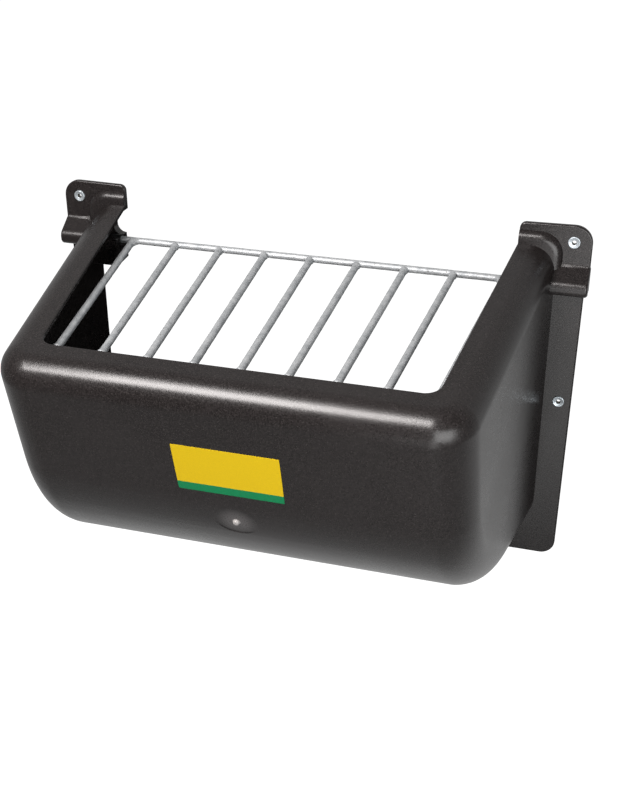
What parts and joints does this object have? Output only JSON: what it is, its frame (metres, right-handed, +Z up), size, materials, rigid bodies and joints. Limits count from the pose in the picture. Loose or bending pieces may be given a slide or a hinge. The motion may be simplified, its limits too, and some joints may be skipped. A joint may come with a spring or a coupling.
{
  "type": "hay rack feeder",
  "caption": "Wall-mounted moulded plastic hay trough with side flanges, open back and a hinged grille of steel bars.",
  "frame": {"origin": "centre of the four wall screws, on the wall plane", "axes": "+X to the right along the wall as seen from the front, +Y into the wall, +Z up"},
  "size_m": [0.894, 0.4643, 0.599],
  "materials": {
    "moulded_plastic": "satin, fine moulded grain",
    "galvanised_steel": "hot-dip galvanised, mottled",
    "zinc_plated_steel": "bright zinc plate",
    "sleeve_plastic": "satin",
    "label_film": "printed film"
  },
  "bodies": {
    "trough": {"trough_shell": "moulded_plastic", "label_plate": "label_film", "mounting_bush_top_left": "zinc_plated_steel", "mounting_bush_top_right": "zinc_plated_steel", "mounting_bush_middle_left": "zinc_plated_steel", "mounting_bush_middle_right": "zinc_plated_steel", "pivot_bush_left": "sleeve_plastic", "pivot_bush_right": "sleeve_plastic"},
    "grille": {"pivot_rod": "galvanised_steel", "front_rod": "galvanised_steel", "grille_bar_1": "galvanised_steel", "grille_bar_2": "galvanised_steel", "grille_bar_3": "galvanised_steel", "grille_bar_4": "galvanised_steel", "grille_bar_5": "galvanised_steel", "grille_bar_6": "galvanised_steel", "grille_bar_7": "galvanised_steel", "grille_bar_8": "galvanised_steel", "grille_bar_9": "galvanised_steel"}
  },
  "joints": [
    {"name": "grille_hinge", "type": "hinge", "parent": "trough", "child": "grille", "pos_m": [0, -0.024, 0.0725], "axis": [-1, 0, 0], "range_deg": [0, 100]}
  ]
}
